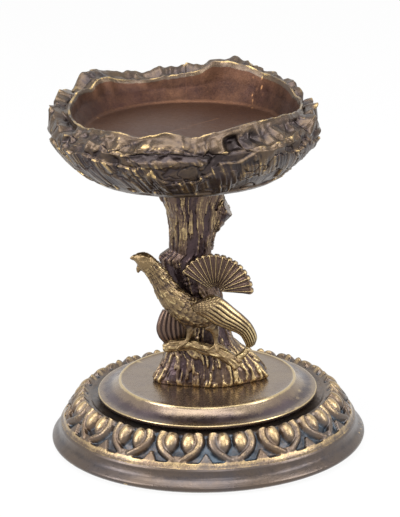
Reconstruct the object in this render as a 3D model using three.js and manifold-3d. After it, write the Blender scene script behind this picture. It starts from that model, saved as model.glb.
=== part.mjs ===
// Candlestick of cast and turned brass. A leaf-bordered foot carries a turned plate, a tree trunk with a
// displaying grouse on a low branch, and a bark-edged dish for a 50 mm pillar candle.
// Millimetres, +Z up. The foot stands on z = 0 with its centre at the origin. The bird is on the -Y side
// and looks toward -X.

import * as THREE from 'three';
import { mergeVertices } from 'three/addons/utils/BufferGeometryUtils.js';
import Module from 'manifold-3d';

const wasm = await Module();
wasm.setup();

// Fits
const seatGap = 0.3;
const boreGap = 0.3;

// Foot ring
const footRadius = 41.8;
const footFlangeHeight = 3.5;
const footBandRadius = 38.9;
const footBandHeight = 6.6;
const footWebTop = 12.3;
const footWebThickness = 3;
const footWall = 2.8;
const channelRadius = 30.6;
const footBossRadius = 8;
const footBossDrop = 2;
const footSegments = 48;

// Leaf and egg border on the foot
const borderRepeats = 16;
const borderTurn = 10;
const borderRecess = 0.9;
const eggWidth = 3.7;
const eggLength = 5.8;
const eggSpacing = 4.4;
const leafRidgeWidth = 1.4;
const leafRidgeSpread = 9.6;
const tabWidth = 3.4;
const dartWidth = 2;

// Turned plate
const plateRadius = 29.2;
const plateLipHeight = 1.9;
const plateThickness = 4.7;
const plateTopRadius = 23.4;
const plateFootRadius = 27.6;
const plateBead = 0.25;
const spigotRadius = 9.6;
const spigotDepth = 1.2;
const plateSegments = 48;

// Trunk and root mound
const trunkHeight = 63;
const trunkGirth = 1;
const barkRidges = 16;
const barkDepth = 0.5;
const rootWave = 0.3;
const stubRadius = 3.3;
const stubReach = 8.8;
const stubTilt = 25;

// Candle dish
const bowlRadius = 35.6;
const bowlHeight = 17;
const dishDepth = 5.6;
const dishFloorRadius = 25.4;
const dishMouthRadius = 29.8;
const dishFloorThickness = 3;
const bowlBottomRadius = 25.5;
const bowlBottomWall = 2.9;
const bowlUndersideRadius = 28;
const bowlBossRadius = 8.5;
const bowlShift = -4.2;
const bowlColumns = 54;

// Studs, nut, washer and dowels
const stemStudRadius = 3;
const stemStudGrip = 11;
const stemStudTail = 1.2;
const stemNutWidth = 10;
const stemNutHeight = 4.6;
const washerRadius = 6.5;
const washerThickness = 1;
const bowlStudRadius = 2.5;
const bowlStudGrip = 9;
const bowlStudReach = 3.4;
const dowelRadius = 0.8;
const perchDowelLength = 5;
const birdDowelRadius = 1;
const birdDowelLength = 6.5;

// Perch branch
const perchRadius = 1.55;
const twigRadius = 0.85;

// Bird
const birdWidth = 6.6;
const birdStandOff = 3;
const legRadius = 0.62;
const toeRadius = 0.5;
const fanRadius = 10;
const fanHubRadius = 1.3;
const fanThickness = 1.3;
const fanRibHeight = 0.3;
const fanFeathers = 15;
const fanFirstAngle = 155;
const fanLastAngle = -1;
const fanTurn = 15;
const wingThickness = 1.7;
const wingFeathers = 6;
const wingRibHeight = 0.3;
const farWingRibs = 6;
const tenonRadius = 0.8;
const tenonLength = 2.4;

// Heights and places that follow from the sizes above
const plateTop = footWebTop + plateThickness;
const trunkTop = plateTop + trunkHeight;
const dishUnderside = trunkTop + 2.9;
const dishFloor = dishUnderside + dishFloorThickness;
const rimHeight = dishFloor + dishDepth;
const bowlBottom = rimHeight - bowlHeight;
const footUnderWeb = footWebTop - footWebThickness;
const footBossBottom = footUnderWeb - footBossDrop;
const washerBottom = footBossBottom - washerThickness;
const nutBottom = washerBottom - stemNutHeight;

const TAU = Math.PI * 2;
const radians = THREE.MathUtils.degToRad;

function vec(x, y, z) {
  return new THREE.Vector3(x, y, z);
}

// Solids and meshes

function turnedOutward(geometry) {
  const place = geometry.attributes.position;
  const index = geometry.index.array;
  const a = vec(0, 0, 0);
  const b = vec(0, 0, 0);
  const c = vec(0, 0, 0);
  let volume = 0;
  for (let i = 0; i < index.length; i += 3) {
    a.fromBufferAttribute(place, index[i]);
    b.fromBufferAttribute(place, index[i + 1]);
    c.fromBufferAttribute(place, index[i + 2]);
    volume += a.dot(b.cross(c));
  }
  if (volume < 0) {
    for (let i = 0; i < index.length; i += 3) {
      [index[i + 1], index[i + 2]] = [index[i + 2], index[i + 1]];
    }
  }
  return geometry;
}

function solidOf(geometry) {
  const bare = geometry.clone();
  bare.deleteAttribute('normal');
  bare.deleteAttribute('uv');
  const merged = turnedOutward(mergeVertices(bare));
  return new wasm.Manifold(new wasm.Mesh({
    numProp: 3,
    vertProperties: new Float32Array(merged.attributes.position.array),
    triVerts: new Uint32Array(merged.index.array),
  }));
}

function geometryOf(solid) {
  const mesh = solid.getMesh();
  const geometry = new THREE.BufferGeometry();
  geometry.setAttribute('position', new THREE.BufferAttribute(new Float32Array(mesh.vertProperties), 3));
  geometry.setIndex(new THREE.BufferAttribute(new Uint32Array(mesh.triVerts), 1));
  geometry.computeVertexNormals();
  return geometry;
}

// Closed surface over rings that hold the same number of points, with a fan of faces over each end
function skin(rings) {
  const count = rings[0].length;
  const points = rings.flat();
  const faces = [];
  for (let r = 0; r < rings.length - 1; r += 1) {
    for (let i = 0; i < count; i += 1) {
      const a = r * count + i;
      const b = r * count + (i + 1) % count;
      faces.push(a, b, a + count, b, b + count, a + count);
    }
  }
  for (const [ring, turned] of [[0, true], [rings.length - 1, false]]) {
    const middle = vec(0, 0, 0);
    rings[ring].forEach((point) => middle.add(point));
    points.push(middle.divideScalar(count));
    for (let i = 0; i < count; i += 1) {
      const a = ring * count + i;
      const b = ring * count + (i + 1) % count;
      faces.push(points.length - 1, turned ? b : a, turned ? a : b);
    }
  }
  const geometry = new THREE.BufferGeometry().setFromPoints(points);
  geometry.setIndex(faces);
  return geometry;
}

// Revolved solid from a profile of [radius, height] pairs that closes on itself or starts and ends on the axis
function turned(profile, segments) {
  const points = profile.map(([radius, height]) => new THREE.Vector2(radius, height));
  return solidOf(new THREE.LatheGeometry(points, segments).rotateX(Math.PI / 2));
}

function rod(radius, from, to, sides = 16) {
  const along = to.clone().sub(from);
  const geometry = new THREE.CylinderGeometry(radius, radius, along.length(), sides);
  geometry.applyQuaternion(new THREE.Quaternion().setFromUnitVectors(vec(0, 1, 0), along.clone().normalize()));
  geometry.translate(...from.clone().add(to).multiplyScalar(0.5).toArray());
  return solidOf(geometry);
}

// Value of a smooth curve through keys of up to three numbers, at a share t of the way along them
function through(keys) {
  const curve = new THREE.CatmullRomCurve3(keys.map((key) => vec(...key)), false, 'catmullrom', 0.5);
  return (t) => curve.getPoint(t);
}

// Limb with oval sections along a path: each size is [half across, half along Y]
function limb(path, sizes, steps, sides, grow = 0) {
  const place = through(path);
  const size = through(sizes.map(([across, deep]) => [across, deep, 0]));
  const rings = [];
  for (let s = 0; s <= steps; s += 1) {
    const t = s / steps;
    const ahead = place(Math.min(1, t + 0.01)).sub(place(Math.max(0, t - 0.01))).normalize();
    const deepAxis = vec(0, 1, 0).addScaledVector(ahead, -ahead.y).normalize();
    const acrossAxis = deepAxis.clone().cross(ahead);
    const half = size(t);
    const middle = place(t).addScaledVector(ahead, s === 0 ? -grow : s === steps ? grow : 0);
    rings.push(Array.from({ length: sides }, (_, i) => {
      const angle = TAU * i / sides;
      return middle.clone()
        .addScaledVector(acrossAxis, (half.x + grow) * Math.cos(angle))
        .addScaledVector(deepAxis, (half.y + grow) * Math.sin(angle));
    }));
  }
  return solidOf(skin(rings));
}

// Foot ring

function footProfile() {
  const inner = footRadius - footWall - 2.2;
  return [
    [inner, 0], [footRadius - 2.5, 0], [footRadius - 0.4, 1.4], [footRadius, 2.3],
    [footRadius - 0.8, footFlangeHeight], [footBandRadius + 1.1, footFlangeHeight + 1.4],
    [footBandRadius + 0.7, footBandHeight - 1.2], [footBandRadius, footBandHeight],
    [footBandRadius - borderRecess, footBandHeight + 0.1],
    [footBandRadius - borderRecess - 1.8, footBandHeight + 2.3],
    [channelRadius + 2.6, footWebTop - 0.5], [channelRadius + 0.9, footWebTop + 0.5],
    [channelRadius, footWebTop], [spigotRadius + boreGap, footWebTop],
    [spigotRadius + boreGap, footWebTop - spigotDepth], [stemStudRadius + boreGap, footWebTop - spigotDepth],
    [stemStudRadius + boreGap, footBossBottom], [footBossRadius, footBossBottom],
    [footBossRadius, footUnderWeb], [channelRadius - 1.2, footUnderWeb],
    [footBandRadius - footWall - 2.4, footBandHeight - 0.6], [inner, footFlangeHeight], [inner, 0],
  ];
}

// Place on the sloping border: angle round the foot, and slope from 0 at the band to 1 at the channel
function borderPoint(angle, slope, lift) {
  const radius = THREE.MathUtils.lerp(footBandRadius - borderRecess, channelRadius + 1.4, slope);
  const height = THREE.MathUtils.lerp(footBandHeight, footWebTop + 0.4, slope ** 0.85);
  const turn = radians(angle);
  return vec((radius + lift * 0.6) * Math.sin(turn), -(radius + lift * 0.6) * Math.cos(turn), height + lift * 0.8);
}

// Angle that a distance takes up on the egg row
function onEggRow(distance) {
  return THREE.MathUtils.radToDeg(distance / (channelRadius + 2.8));
}

function egg(angle) {
  const geometry = new THREE.SphereGeometry(0.5, 6, 4);
  geometry.scale(eggWidth, eggLength, eggWidth);
  const slope = borderPoint(angle, 0.95, 0).sub(borderPoint(angle, 0.45, 0)).normalize();
  geometry.applyQuaternion(new THREE.Quaternion().setFromUnitVectors(vec(0, 1, 0), slope));
  geometry.translate(...borderPoint(angle, 0.72, 0.3).toArray());
  return solidOf(geometry);
}

function leafRidge(centre, side) {
  const spread = onEggRow(leafRidgeSpread / 2);
  const path = [[0.94, 0.98], [1.06, 0.68], [0.78, 0.36], [0.26, 0.14]].map(([across, slope]) => (
    borderPoint(centre + side * across * spread, slope, 0.2).toArray()));
  const half = leafRidgeWidth / 2;
  return limb(path, path.map(() => [half, half * 1.5]), 3, 3);
}

// Wedge that stands on the edge of the band and points up the border
function wedge(angle, width, point, length) {
  const base = THREE.MathUtils.radToDeg(width / 2 / footBandRadius);
  const tip = THREE.MathUtils.radToDeg(point / 2 / footBandRadius);
  const corners = (side, slope, lift) => borderPoint(angle + side, slope, lift);
  return solidOf(skin([
    [corners(-base, -0.08, -0.8), corners(base, -0.08, -0.8), corners(base, -0.02, borderRecess * 0.9),
      corners(-base, -0.02, borderRecess * 0.9)],
    [corners(-tip, length, -0.8), corners(tip, length, -0.8), corners(tip, length, borderRecess * 0.5),
      corners(-tip, length, borderRecess * 0.5)],
  ]));
}

function footRing() {
  let ring = turned(footProfile(), footSegments);
  const pitch = 360 / borderRepeats;
  const eggReach = onEggRow(eggSpacing / 2);
  for (let n = 0; n < borderRepeats; n += 1) {
    const centre = borderTurn + n * pitch;
    for (const side of [-1, 1]) {
      ring = ring.add(egg(centre + side * eggReach));
      ring = ring.add(leafRidge(centre, side));
    }
    ring = ring.add(wedge(centre, tabWidth, tabWidth * 0.5, 0.14));
    ring = ring.add(wedge(centre + pitch / 2, dartWidth, 0.2, 0.2));
  }
  return ring;
}

// Turned plate

function basePlate() {
  const lip = footWebTop + plateLipHeight;
  const bore = stemStudRadius + boreGap;
  const hollow = [0.25, 0.5, 0.75].map((t) => [
    THREE.MathUtils.lerp(plateRadius - 0.5, plateTopRadius + 0.5, t),
    lip + 0.1 + (plateTop - 0.5 - lip) * t ** 2.2,
  ]);
  return turned([
    [bore, footWebTop - spigotDepth + seatGap], [spigotRadius, footWebTop - spigotDepth + seatGap],
    [spigotRadius, footWebTop], [plateFootRadius, footWebTop], [plateRadius - 0.5, footWebTop + 0.9],
    [plateRadius, lip - 0.8], [plateRadius, lip], [plateRadius - 0.5, lip + 0.1], ...hollow,
    [plateTopRadius + 0.4, plateTop - 0.3], [plateTopRadius, plateTop + plateBead],
    [plateTopRadius - 0.5, plateTop + plateBead], [plateTopRadius - 0.9, plateTop], [bore, plateTop],
    [bore, footWebTop - spigotDepth + seatGap],
  ], plateSegments);
}

// Trunk: at each share of its height, its left, right, front and back edge

const trunkKeys = [
  [0, -14.2, 15.6, -8.2, 8.2],
  [0.015, -14.7, 16.2, -8.7, 8.7],
  [0.06, -12.8, 14.6, -8.3, 8.2],
  [0.11, -11.2, 11.2, -7.8, 7.6],
  [0.17, -10.0, 7.0, -7.0, 6.8],
  [0.25, -9.8, 5.4, -6.6, 6.4],
  [0.37, -10.2, 4.2, -6.2, 6.0],
  [0.47, -11.2, 3.0, -5.9, 5.7],
  [0.54, -11.9, 2.0, -5.6, 5.4],
  [0.57, -9.0, 2.0, -5.5, 5.4],
  [0.66, -9.0, 3.2, -5.9, 5.7],
  [0.74, -9.7, 4.4, -6.4, 6.2],
  [0.81, -11.6, 5.2, -7.4, 7.2],
  [0.87, -13.2, 5.6, -8.8, 8.8],
  [1, -13.0, 4.6, -8.8, 8.8],
];

function trunkEdges(share) {
  let k = 1;
  while (k < trunkKeys.length - 1 && share > trunkKeys[k][0]) k += 1;
  const [low, high] = [trunkKeys[k - 1], trunkKeys[k]];
  const t = THREE.MathUtils.smoothstep(share, low[0], high[0]) * 0.5
    + 0.5 * (share - low[0]) / (high[0] - low[0]);
  return low.map((value, i) => THREE.MathUtils.lerp(value, high[i], t) * (i ? trunkGirth : 1));
}

function trunkBlank() {
  const columns = barkRidges * 3;
  const shares = [0, 0.015, 0.04, 0.08, 0.12, 0.17, 0.25, 0.33, 0.42, 0.5, 0.535, 0.555, 0.58,
    0.66, 0.74, 0.81, 0.87, 0.93, 1];
  const rings = shares.map((share) => {
    const [, left, right, front, back] = trunkEdges(share);
    const flare = Math.max(0, 1 - share / 0.14);
    return Array.from({ length: columns }, (_, i) => {
      const angle = TAU * i / columns;
      const ridge = barkDepth * Math.cos(barkRidges * angle) + rootWave * flare * Math.cos(5 * angle + 0.8);
      const middle = (left + right) / 2;
      const halfAcross = (right - left) / 2 + ridge;
      const halfDeep = (Math.sin(angle) < 0 ? -front : back) + ridge;
      return vec(middle + halfAcross * Math.cos(angle), halfDeep * Math.sin(angle), plateTop + share * trunkHeight);
    });
  });
  return solidOf(skin(rings)).add(branchStub());
}

function branchStub() {
  const tilt = radians(stubTilt);
  const along = vec(Math.cos(tilt), -0.08, Math.sin(tilt)).normalize();
  const root = vec(-2, 0, plateTop + trunkHeight * 0.7);
  const path = [0, 0.5, 1].map((t) => root.clone().addScaledVector(along, t * stubReach).toArray());
  const sizes = [[stubRadius + 3.4, stubRadius + 1.7], [stubRadius + 1.6, stubRadius + 0.6], [stubRadius, stubRadius]];
  return limb(path, sizes, 3, 12);
}

// Bark rim of the dish: at each angle from the front, turning toward +X, how far the inner edge and the
// outer edge stand above the rim plane, and how far the wall stands out there

const rimKeys = [
  [-180, 1.3, 3.2, 0], [-169, 0.6, 2.4, 0], [-156, 0.4, 2.5, 0.2], [-147, 1.2, 3.7, 0.2], [-137, 2.6, 4.6, 0.4],
  [-130, 3.4, 4.8, 0.8], [-123, 1.2, 0.8, 0.2], [-110, 1.8, 2.4, 0.5], [-90, 0, 1.2, 0.6], [-75, -0.8, -0.6, 0.3],
  [-58, -0.8, -0.6, 0.4], [-45, -0.4, 0.4, 0.8], [-33, 0, -0.8, 0], [-20, -0.6, -1.0, 0.2], [-9, 1.0, 0.2, 0.8],
  [3, -0.5, -0.8, 0.6], [12, 0.7, -0.9, 0], [35, 2.2, 0.2, 0.1], [58, 1.6, 0.6, 0.3], [74, 0.2, 0.2, 0.6],
  [88, 0.2, 1.0, -0.8], [104, 0.2, -0.6, -1.8], [110, 1.0, 0.4, -1.6], [119, 2.2, 2.0, -1.2], [138, 3.4, 3.6, -0.6],
  [150, 4.6, 4.8, -0.2], [166, 5.0, 5.1, 0], [173, 2.2, 4.2, 0],
];

function rimShape(angle) {
  const turn = THREE.MathUtils.euclideanModulo(angle - rimKeys[0][0], 360) + rimKeys[0][0];
  const next = rimKeys.findIndex((key) => key[0] > turn);
  const high = next < 0 ? [rimKeys[0][0] + 360, ...rimKeys[0].slice(1)] : rimKeys[next];
  const low = rimKeys.at(next < 0 ? -1 : next - 1);
  const share = (turn - low[0]) / (high[0] - low[0]);
  const [, inner, outer, out] = low.map((value, i) => THREE.MathUtils.lerp(value, high[i], share));
  return { inner, outer, out };
}

function crag(angle, height) {
  const turn = radians(angle);
  return 0.35 * Math.cos(7 * turn + height * 0.5) + 0.25 * Math.cos(12 * turn - height * 0.8 + 1);
}

// Share of the way from the bottom edge out to the widest radius, at a share of the bowl's height
function bulge(up) {
  return 1 - Math.max(0, 1 - up / 0.8) ** 1.9;
}

function bowlBlank() {
  const wall = [0.85, 0.65, 0.46, 0.28, 0.12].map((up) => ({
    r: bowlBottomRadius + (bowlRadius - bowlBottomRadius) * bulge(up), z: bowlBottom + up * bowlHeight,
    outer: up ** 3 * 0.5, rough: 1,
  }));
  const rows = [
    { r: dishFloorRadius, z: dishFloor },
    { r: dishFloorRadius + 0.9, z: dishFloor + 0.5 },
    { r: dishMouthRadius - 1, z: dishFloor + dishDepth * 0.65, inner: 0.4 },
    { r: dishMouthRadius, z: rimHeight, inner: 1 },
    { r: (dishMouthRadius + bowlRadius) / 2 - 1, z: rimHeight + 0.3, inner: 0.5, outer: 0.5, rough: 0.5 },
    { r: bowlRadius - 1, z: rimHeight - 0.2, outer: 1, rough: 1 },
    ...wall,
    { r: bowlBottomRadius, z: bowlBottom, rough: 0.2 },
    { r: bowlBottomRadius - bowlBottomWall, z: bowlBottom },
    { r: bowlUndersideRadius, z: dishUnderside - 1.8 },
    { r: bowlUndersideRadius - 1.2, z: dishUnderside },
    { r: bowlBossRadius, z: dishUnderside },
    { r: bowlBossRadius, z: trunkTop },
  ];
  const rings = rows.map(({ r, z, inner = 0, outer = 0, rough = 0 }) => (
    Array.from({ length: bowlColumns }, (_, i) => {
      const angle = 360 * i / bowlColumns;
      const shape = rimShape(angle);
      const radius = r + rough * (crag(angle, z - bowlBottom) + shape.out);
      const turn = radians(angle);
      return vec(bowlShift + radius * Math.sin(turn), -radius * Math.cos(turn),
        z + inner * shape.inner + outer * shape.outer);
    })));
  return solidOf(skin(rings));
}

function bowl() {
  const bore = rod(bowlStudRadius + boreGap, vec(bowlShift, 0, trunkTop - 1),
    vec(bowlShift, 0, trunkTop + bowlStudReach + seatGap));
  return bowlBlank().subtract(bore);
}

// Bird: places are given from the point on the trunk's axis at the foot of the bird

const birdBase = plateTop + trunkHeight * 0.19;
const trunkFront = -trunkEdges(0.35)[3];
const birdY = -(trunkFront + birdStandOff);

function atBird(x, y, z) {
  return [x, birdY + y, birdBase + z];
}

const bodyPath = [
  [-18.0, -0.8, 25.3], [-15.9, -0.7, 24.2], [-13.2, -0.4, 21.2], [-11.2, 0, 17.8], [-9.4, 0, 14.6],
  [-7.2, 0, 12.0], [-4.4, 0, 9.9], [-1.0, 0, 8.9], [2.4, 0, 9.0], [5.0, 0.3, 10.2],
];
const bodyHeights = [1.0, 2.3, 2.4, 2.8, 3.3, 3.6, 3.8, 3.7, 3.1, 1.2];
const bodyWidths = [0.25, 0.55, 0.55, 0.68, 0.88, 1, 1, 1, 0.8, 0.4];

function birdTorso(grow) {
  const path = bodyPath.map((point) => atBird(...point));
  const sizes = bodyHeights.map((height, i) => [height, bodyWidths[i] * birdWidth / 2]);
  const beak = limb([atBird(-16.8, -0.8, 24.5), atBird(-18.3, -0.9, 24.9), atBird(-19.4, -1.0, 24.8)],
    [[1.3, 1.0], [0.8, 0.6], [0.15, 0.15]], 3, 8, grow);
  const beard = limb([atBird(-15.6, -0.7, 23.4), atBird(-17.6, -0.8, 21.2)], [[1.6, 1.0], [0.6, 0.4]], 2, 8, grow);
  return limb(path, sizes, 14, 12, grow).add(beak).add(beard);
}

const frontLeg = [[-4.9, -0.2, 7.4], [-4.2, -0.4, 4.9], [-4.8, -0.5, 2.6], [-5.6, -0.5, 1.3]];
const rearLeg = [[1.2, -0.8, 6.2], [2.2, -1.0, 4.4], [2.4, -1.1, 2.2], [2.6, -1.2, 0.4]];
const toes = [
  [[-5.4, -0.5, 1.5], [-7.6, -0.3, 1.35], [-9.9, 0.2, 1.0]],
  [[-5.4, -0.6, 1.4], [-6.9, -1.1, 0.6], [-8.0, -1.3, -0.4]],
  [[2.5, -1.2, 0.8], [1.2, -1.6, -0.1], [-0.4, -1.7, -0.7]],
  [[2.6, -1.3, 0.8], [2.7, -2.1, -0.5], [2.9, -2.3, -1.3]],
  [[2.6, -1.2, 0.8], [3.9, -1.7, 0.2], [5.4, -2.1, -0.6]],
];

function birdLegs(grow) {
  const legSizes = [[2.1, 1.7], [1.2, 1.1], [legRadius, legRadius], [legRadius, legRadius]];
  let legs = limb(frontLeg.map((point) => atBird(...point)), legSizes, 5, 8, grow)
    .add(limb(rearLeg.map((point) => atBird(...point)), legSizes, 5, 8, grow));
  for (const toe of toes) {
    const sizes = [[toeRadius * 1.2, toeRadius * 1.2], [toeRadius, toeRadius], [toeRadius * 0.6, toeRadius * 0.6]];
    legs = legs.add(limb(toe.map((point) => atBird(...point)), sizes, 3, 6, grow));
  }
  return legs;
}

// Tail fan: radial feathers with a rib down each and a rounded tip

function tailFan(grow) {
  const turn = radians(fanTurn);
  const hub = vec(...atBird(2.7, 0.9, 14.9));
  const right = vec(Math.cos(turn), -Math.sin(turn), 0);
  const front = vec(-Math.sin(turn), -Math.cos(turn), 0);
  const columns = fanFeathers * 3;
  const first = radians(fanFirstAngle);
  const last = radians(fanLastAngle);
  const spread = grow / fanRadius;
  const rings = Array.from({ length: columns + 1 }, (_, i) => {
    const angle = THREE.MathUtils.lerp(first + spread, last - spread, i / columns);
    const onRib = i % 3 !== 0;
    const between = i % 3 === 0;
    const tip = fanRadius * (between ? 0.95 : onRib ? 1.01 : 1) + grow;
    const at = (radius, lift) => hub.clone()
      .addScaledVector(right, radius * Math.cos(angle))
      .addScaledVector(vec(0, 0, 1), radius * Math.sin(angle))
      .addScaledVector(front, lift);
    const half = fanThickness / 2 + grow;
    const relief = grow ? fanRibHeight : fanRibHeight * (onRib ? 1 : between ? -0.6 : 0);
    return [
      at(fanHubRadius, half), at(fanRadius * 0.42, half + relief), at(fanRadius * 0.86, half + relief),
      at(tip, half * 0.5), at(tip, -half * 0.6), at(fanRadius * 0.86, -half), at(fanHubRadius, -half),
    ];
  });
  return solidOf(skin(rings));
}

// Wings: a feathered blade whose stations give its upper and lower edge and how far it stands forward

const nearWingStations = [
  { upper: [0.6, 15.2], lower: [-3.8, 12.4], y: -3.2 },
  { upper: [2.6, 15.2], lower: [-2.6, 10.6], y: -3.7 },
  { upper: [4.9, 13.9], lower: [-0.2, 9.2], y: -4.0 },
  { upper: [7.4, 11.6], lower: [2.6, 7.2], y: -3.9 },
  { upper: [9.8, 9.3], lower: [6.0, 5.6], y: -3.5 },
  { upper: [11.9, 6.6], lower: [8.6, 4.0], y: -2.7 },
  { upper: [13.2, 3.2], lower: [9.9, 1.6], y: -1.9 },
  { upper: [12.7, 0.9], lower: [10.3, 0.2], y: -1.5 },
];

const farWingStations = [
  { upper: [-11.4, 9.4], lower: [-6.2, 10.4], y: 2.6 },
  { upper: [-12.4, 7.4], lower: [-5.6, 8.2], y: 2.2 },
  { upper: [-13.1, 4.6], lower: [-5.4, 5.4], y: 2.0 },
  { upper: [-12.5, 2.2], lower: [-5.4, 3.2], y: 2.1 },
  { upper: [-11.3, 0.6], lower: [-5.6, 2.0], y: 2.3 },
];

function blade(stations, steps, feathers, thickness, ribHeight, bulge, grow) {
  const upper = through(stations.map(({ upper: [x, z], y }) => atBird(x, y, z)));
  const lower = through(stations.map(({ lower: [x, z], y }) => atBird(x, y, z)));
  const across = feathers * 2;
  const backPoints = 4;
  const rings = [];
  for (let s = 0; s <= steps; s += 1) {
    const t = s / steps;
    const [top, bottom] = [upper(t), lower(t)];
    const width = bottom.clone().sub(top);
    const ahead = upper(Math.min(1, t + 0.05)).sub(upper(Math.max(0, t - 0.05))).normalize();
    const shift = s === 0 ? -grow : s === steps ? grow : 0;
    const side = width.clone().normalize();
    const at = (share, lift) => top.clone().addScaledVector(side, -grow + share * (width.length() + 2 * grow))
      .addScaledVector(vec(0, -1, 0), lift).addScaledVector(ahead, shift);
    const taper = 1 - 0.45 * t;
    const ring = [];
    for (let i = 0; i <= across; i += 1) {
      const share = i / across;
      const arch = Math.sin(Math.PI * share);
      const rib = grow ? ribHeight : ribHeight * (i % 2 ? 1 : -0.4);
      ring.push(at(share, thickness * 0.25 + (thickness * 0.35 + bulge * taper) * arch + rib * arch + grow));
    }
    for (let i = 0; i < backPoints; i += 1) {
      const share = 1 - i / (backPoints - 1);
      const arch = Math.sin(Math.PI * share);
      ring.push(at(share, bulge * taper * 0.6 * arch - thickness * 0.3 - grow));
    }
    rings.push(ring);
  }
  return solidOf(skin(rings));
}

function nearWingBlade(grow) {
  return blade(nearWingStations, 12, wingFeathers, wingThickness, wingRibHeight, 1.2, grow);
}

function farWingBlade(grow) {
  return blade(farWingStations, 6, farWingRibs, wingThickness * 0.8, wingRibHeight, 0.8, grow);
}

function nearTenon(grow) {
  const root = vec(...atBird(-0.6, -3.9, 12.4));
  return rod(tenonRadius + grow, root, root.clone().add(vec(0, tenonLength + grow, 0)), 10);
}

function farTenon(grow) {
  const root = vec(...atBird(-8.4, 2.1, 9.4));
  return rod(tenonRadius + grow, root, root.clone().add(vec(0, -tenonLength - grow, 0)), 10);
}

// Perch branch, with a sawn right end, a forked twig and dowels into the root mound

const perchPath = [
  [-11.2, 1.9, -0.6], [-9.0, 1.2, -0.2], [-6.2, 0.5, 0.5], [-3.2, -0.1, 0.3],
  [0.2, -0.6, -0.7], [3.4, -1.0, -1.4], [6.0, -1.6, -2.9], [8.4, -2.4, -5.0],
];
const perchGirth = [0.75, 1.0, 0.9, 0.85, 0.95, 1.1, 1.1, 1.12];

function perchBlank(grow) {
  const branch = limb(perchPath.map((point) => atBird(...point)),
    perchGirth.map((girth) => [girth * perchRadius, girth * perchRadius]), 14, 12, grow);
  const twig = limb([atBird(6.8, -1.8, -3.6), atBird(9.2, -1.6, -2.2), atBird(10.9, -1.2, -0.6)],
    [[twigRadius * 1.3, twigRadius * 1.3], [twigRadius, twigRadius], [twigRadius * 0.8, twigRadius * 0.8]], 4, 8, grow);
  return branch.add(twig);
}

function dowel(x, y, z, radius, length, grow) {
  const from = vec(...atBird(x, y, z));
  return rod(radius + grow, from.clone().add(vec(0, -grow, 0)), from.clone().add(vec(0, length + grow, 0)), 10);
}

function perchDowels(grow) {
  return [dowel(-8.0, 1.2, -0.1, dowelRadius, perchDowelLength, grow),
    dowel(4.2, -0.9, -1.9, dowelRadius, perchDowelLength, grow)];
}

function birdDowel(grow) {
  return dowel(-2.4, 0.6, 9.2, birdDowelRadius, birdDowelLength, grow);
}

// The pieces, each cut by what sits in it

function trunk() {
  let solid = trunkBlank();
  const stemBore = rod(stemStudRadius + boreGap, vec(0, 0, plateTop - 1),
    vec(0, 0, plateTop + stemStudGrip + seatGap));
  const topBore = rod(bowlStudRadius + boreGap, vec(bowlShift, 0, trunkTop - bowlStudGrip - seatGap),
    vec(bowlShift, 0, trunkTop + 1));
  const cutters = [stemBore, topBore, birdTorso(seatGap), birdLegs(seatGap), tailFan(seatGap),
    nearWingBlade(seatGap), farWingBlade(seatGap), perchBlank(seatGap), ...perchDowels(boreGap),
    birdDowel(boreGap)];
  cutters.forEach((cutter) => { solid = solid.subtract(cutter); });
  return solid;
}

function perchBranch() {
  let solid = perchBlank(0).subtract(birdLegs(seatGap)).subtract(nearWingBlade(seatGap))
    .subtract(farWingBlade(seatGap));
  perchDowels(boreGap).forEach((cutter) => { solid = solid.subtract(cutter); });
  return solid;
}

function birdBody() {
  return birdTorso(0).add(birdLegs(0)).subtract(tailFan(seatGap)).subtract(nearWingBlade(seatGap))
    .subtract(farWingBlade(seatGap)).subtract(nearTenon(boreGap)).subtract(farTenon(boreGap))
    .subtract(birdDowel(boreGap));
}

function stemNut() {
  const outline = new THREE.Shape();
  const corner = stemNutWidth / 2 / Math.cos(Math.PI / 6);
  for (let i = 0; i < 6; i += 1) {
    const angle = TAU * i / 6;
    outline[i ? 'lineTo' : 'moveTo'](corner * Math.cos(angle), corner * Math.sin(angle));
  }
  outline.closePath();
  const hole = new THREE.Path();
  hole.absarc(0, 0, stemStudRadius + boreGap, 0, TAU, true);
  outline.holes.push(hole);
  const geometry = new THREE.ExtrudeGeometry(outline, { depth: stemNutHeight, bevelEnabled: false, curveSegments: 16 });
  return solidOf(geometry.translate(0, 0, nutBottom));
}

function stemWasher() {
  const bore = stemStudRadius + boreGap;
  return turned([[bore, washerBottom], [washerRadius, washerBottom], [washerRadius, footBossBottom],
    [bore, footBossBottom], [bore, washerBottom]], 32);
}

// Colours

const bronze = { color: 0x6f5a3c, metalness: 0.9, roughness: 0.42 };
const turnedBrass = { color: 0x8a7a63, metalness: 0.9, roughness: 0.35 };
const goldBrass = { color: 0x9c8452, metalness: 0.9, roughness: 0.38 };
const copperBrown = { color: 0x7a5a3c, metalness: 0.9, roughness: 0.4 };
const steel = { color: 0x8d8f92, metalness: 1, roughness: 0.4 };

const group = new THREE.Group();

function place(name, solid, finish) {
  const mesh = new THREE.Mesh(geometryOf(solid), new THREE.MeshStandardMaterial(finish));
  mesh.name = name;
  group.add(mesh);
}

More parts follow.
